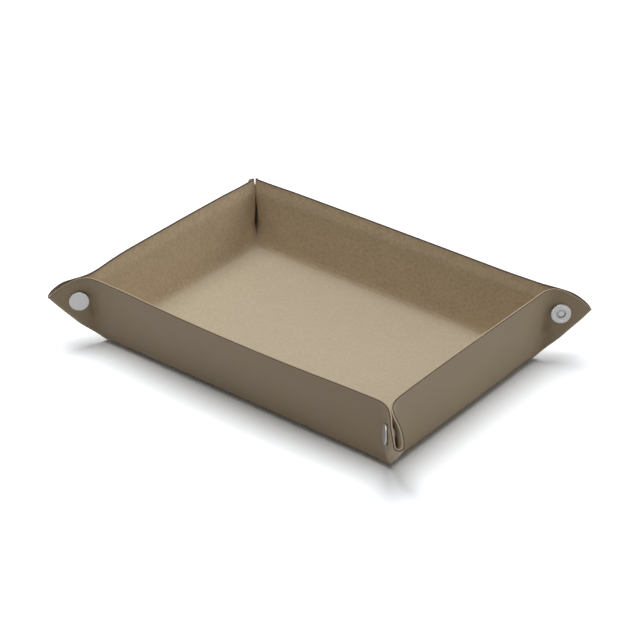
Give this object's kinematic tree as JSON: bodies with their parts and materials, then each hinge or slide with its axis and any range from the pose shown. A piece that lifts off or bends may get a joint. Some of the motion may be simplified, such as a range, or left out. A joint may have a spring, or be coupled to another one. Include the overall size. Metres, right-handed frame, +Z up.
{
  "type": "valet tray",
  "caption": "Soft valet tray folded from one lined leather sheet: leaning walls, corners pinched into ears held by press snaps; unsnaps to lie flat.",
  "frame": {"origin": "on the table, under the middle of the base", "axes": "+X along the long walls, -Y towards the front, +Z up out of the tray"},
  "size_m": [0.2532, 0.1852, 0.0456],
  "materials": {
    "leather": "smooth, fine grain, low sheen",
    "lining": "short suede nap",
    "snap_metal": "satin nickel plate",
    "snap_spring": "plain wire"
  },
  "bodies": {
    "base": {"leather_base": "leather", "lining_base": "lining"},
    "wall_front": {"leather_wall_front": "leather", "lining_wall_front": "lining"},
    "wall_back": {"leather_wall_back": "leather", "lining_wall_back": "lining"},
    "wall_right": {"leather_wall_right": "leather", "lining_wall_right": "lining"},
    "wall_left": {"leather_wall_left": "leather", "lining_wall_left": "lining"},
    "ear_long_front_right": {"leather_ear_long_front_right": "leather", "lining_ear_long_front_right": "lining", "snap_cap_front_right": "snap_metal", "snap_socket_front_right": "snap_metal", "snap_spring_front_right": "snap_spring"},
    "ear_short_front_right": {"leather_ear_short_front_right": "leather", "lining_ear_short_front_right": "lining", "snap_stud_front_right": "snap_metal", "snap_eyelet_front_right": "snap_metal"},
    "ear_long_front_left": {"leather_ear_long_front_left": "leather", "lining_ear_long_front_left": "lining", "snap_cap_front_left": "snap_metal", "snap_socket_front_left": "snap_metal", "snap_spring_front_left": "snap_spring"},
    "ear_short_front_left": {"leather_ear_short_front_left": "leather", "lining_ear_short_front_left": "lining", "snap_stud_front_left": "snap_metal", "snap_eyelet_front_left": "snap_metal"},
    "ear_long_back_right": {"leather_ear_long_back_right": "leather", "lining_ear_long_back_right": "lining", "snap_cap_back_right": "snap_metal", "snap_socket_back_right": "snap_metal", "snap_spring_back_right": "snap_spring"},
    "ear_short_back_right": {"leather_ear_short_back_right": "leather", "lining_ear_short_back_right": "lining", "snap_stud_back_right": "snap_metal", "snap_eyelet_back_right": "snap_metal"},
    "ear_long_back_left": {"leather_ear_long_back_left": "leather", "lining_ear_long_back_left": "lining", "snap_cap_back_left": "snap_metal", "snap_socket_back_left": "snap_metal", "snap_spring_back_left": "snap_spring"},
    "ear_short_back_left": {"leather_ear_short_back_left": "leather", "lining_ear_short_back_left": "lining", "snap_stud_back_left": "snap_metal", "snap_eyelet_back_left": "snap_metal"}
  },
  "joints": [
    {"name": "front_wall_fold", "type": "hinge", "parent": "base", "child": "wall_front", "pos_m": [0, -0.069, 0.0009], "axis": [1, 0, 0], "range_deg": [0, 78]},
    {"name": "back_wall_fold", "type": "hinge", "parent": "base", "child": "wall_back", "pos_m": [0, 0.069, 0.0009], "axis": [-1, 0, 0], "range_deg": [0, 82.5]},
    {"name": "right_wall_fold", "type": "hinge", "parent": "base", "child": "wall_right", "pos_m": [0.103, 0, 0.0009], "axis": [0, 1, 0], "range_deg": [0, 82.5]},
    {"name": "left_wall_fold", "type": "hinge", "parent": "base", "child": "wall_left", "pos_m": [-0.103, 0, 0.0009], "axis": [0, -1, 0], "range_deg": [0, 82.5]},
    {"name": "front_right_long_ear_fold", "type": "hinge", "parent": "wall_front", "child": "ear_long_front_right", "pos_m": [0.09976, -0.0683, 0.00095], "axis": [0.1294, -0.1294, 0.9831], "range_deg": [0, 45.49]},
    {"name": "front_right_short_ear_fold", "type": "hinge", "parent": "wall_right", "child": "ear_short_front_right", "pos_m": [0.1023, -0.06576, 0.00095], "axis": [-0.1294, 0.1294, -0.9831], "range_deg": [0, 45.49]},
    {"name": "front_left_long_ear_fold", "type": "hinge", "parent": "wall_front", "child": "ear_long_front_left", "pos_m": [-0.09976, -0.0683, 0.00095], "axis": [0.1294, 0.1294, -0.9831], "range_deg": [0, 45.49]},
    {"name": "front_left_short_ear_fold", "type": "hinge", "parent": "wall_left", "child": "ear_short_front_left", "pos_m": [-0.1023, -0.06576, 0.00095], "axis": [-0.1294, -0.1294, 0.9831], "range_deg": [0, 45.49]},
    {"name": "back_right_long_ear_fold", "type": "hinge", "parent": "wall_back", "child": "ear_long_back_right", "pos_m": [0.09976, 0.0683, 0.00095], "axis": [-0.1294, -0.1294, -0.9831], "range_deg": [0, 45.49]},
    {"name": "back_right_short_ear_fold", "type": "hinge", "parent": "wall_right", "child": "ear_short_back_right", "pos_m": [0.1023, 0.06576, 0.00095], "axis": [0.1294, 0.1294, 0.9831], "range_deg": [0, 45.49]},
    {"name": "back_left_long_ear_fold", "type": "hinge", "parent": "wall_back", "child": "ear_long_back_left", "pos_m": [-0.09976, 0.0683, 0.00095], "axis": [-0.1294, 0.1294, 0.9831], "range_deg": [0, 45.49]},
    {"name": "back_left_short_ear_fold", "type": "hinge", "parent": "wall_left", "child": "ear_short_back_left", "pos_m": [-0.1023, 0.06576, 0.00095], "axis": [0.1294, -0.1294, -0.9831], "range_deg": [0, 45.49]}
  ],
  "couplings": [
    {"joint": "back_wall_fold", "follows": "front_wall_fold", "ratio": 1},
    {"joint": "right_wall_fold", "follows": "front_wall_fold", "ratio": 1},
    {"joint": "left_wall_fold", "follows": "front_wall_fold", "ratio": 1},
    {"joint": "front_right_long_ear_fold", "follows": "front_wall_fold", "ratio": 0.55137},
    {"joint": "front_right_short_ear_fold", "follows": "front_wall_fold", "ratio": 0.55137},
    {"joint": "front_left_long_ear_fold", "follows": "front_wall_fold", "ratio": 0.55137},
    {"joint": "front_left_short_ear_fold", "follows": "front_wall_fold", "ratio": 0.55137},
    {"joint": "back_right_long_ear_fold", "follows": "front_wall_fold", "ratio": 0.55137},
    {"joint": "back_right_short_ear_fold", "follows": "front_wall_fold", "ratio": 0.55137},
    {"joint": "back_left_long_ear_fold", "follows": "front_wall_fold", "ratio": 0.55137},
    {"joint": "back_left_short_ear_fold", "follows": "front_wall_fold", "ratio": 0.55137}
  ]
}
